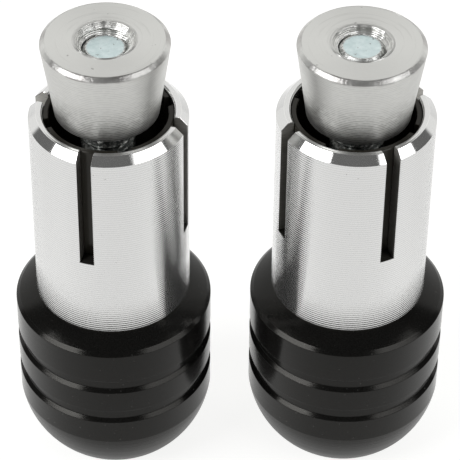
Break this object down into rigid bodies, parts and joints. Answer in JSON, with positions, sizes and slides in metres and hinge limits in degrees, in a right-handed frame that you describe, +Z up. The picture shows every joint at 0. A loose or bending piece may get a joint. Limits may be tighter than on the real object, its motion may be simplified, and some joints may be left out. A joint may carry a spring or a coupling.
{
  "type": "expanding bar end plug pair",
  "caption": "Pair of expanding handlebar end plugs: domed black end weight, slotted clamp sleeve and a cone nut drawn in by a socket screw.",
  "frame": {"origin": "on the ground midway between the two plugs, which stand on their outer ends", "axes": "+Z up along both plugs' axes, from the outer end towards the cone nut; +X from the left plug to the right plug"},
  "size_m": [0.0488, 0.0228, 0.0567],
  "materials": {
    "black_anodised": "satin black anodised",
    "turned_aluminium": "bright, fine turned",
    "plain_aluminium": "plain turned, slightly matt",
    "zinc_steel": "blue white zinc plated"
  },
  "bodies": {
    "left_weight": {"left_end_weight": "black_anodised", "left_lock_washer": "zinc_steel"},
    "left_sleeve": {"left_clamp_sleeve": "turned_aluminium"},
    "left_screw": {"left_clamp_screw": "zinc_steel"},
    "left_nut": {"left_cone_nut": "plain_aluminium"},
    "right_weight": {"right_end_weight": "black_anodised", "right_lock_washer": "zinc_steel"},
    "right_sleeve": {"right_clamp_sleeve": "turned_aluminium"},
    "right_screw": {"right_clamp_screw": "zinc_steel"},
    "right_nut": {"right_cone_nut": "plain_aluminium"}
  },
  "joints": [
    {"name": "left_screw_turn", "type": "hinge", "parent": "left_weight", "child": "left_screw", "pos_m": [-0.0135, -0.00032, 0.03], "axis": [0, 0, 1], "range_deg": [-1440, 1584]},
    {"name": "left_nut_travel", "type": "slide", "parent": "left_weight", "child": "left_nut", "axis": [0, 0, -1], "range_m": [-0.00401, 0.00441]},
    {"name": "left_sleeve_turn", "type": "hinge", "parent": "left_weight", "child": "left_sleeve", "pos_m": [-0.01335, -0.00032, 0.03], "axis": [0, 0, 1], "continuous": true},
    {"name": "right_screw_turn", "type": "hinge", "parent": "right_weight", "child": "right_screw", "pos_m": [0.01355, 0.00032, 0.03], "axis": [0, 0, 1], "range_deg": [-1620, 1260]},
    {"name": "right_nut_travel", "type": "slide", "parent": "right_weight", "child": "right_nut", "axis": [0, 0, -1], "range_m": [-0.00451, 0.00351]},
    {"name": "right_sleeve_turn", "type": "hinge", "parent": "right_weight", "child": "right_sleeve", "pos_m": [0.01335, 0.00032, 0.03], "axis": [0, 0, 1], "continuous": true},
    {"name": "pair_gap", "type": "slide", "parent": "left_weight", "child": "right_weight", "axis": [1, 0, 0], "range_m": [0, 0.02]}
  ],
  "couplings": [
    {"joint": "left_nut_travel", "follows": "left_screw_turn", "m_per_rad": 0.00015915},
    {"joint": "right_nut_travel", "follows": "right_screw_turn", "m_per_rad": 0.00015915}
  ]
}
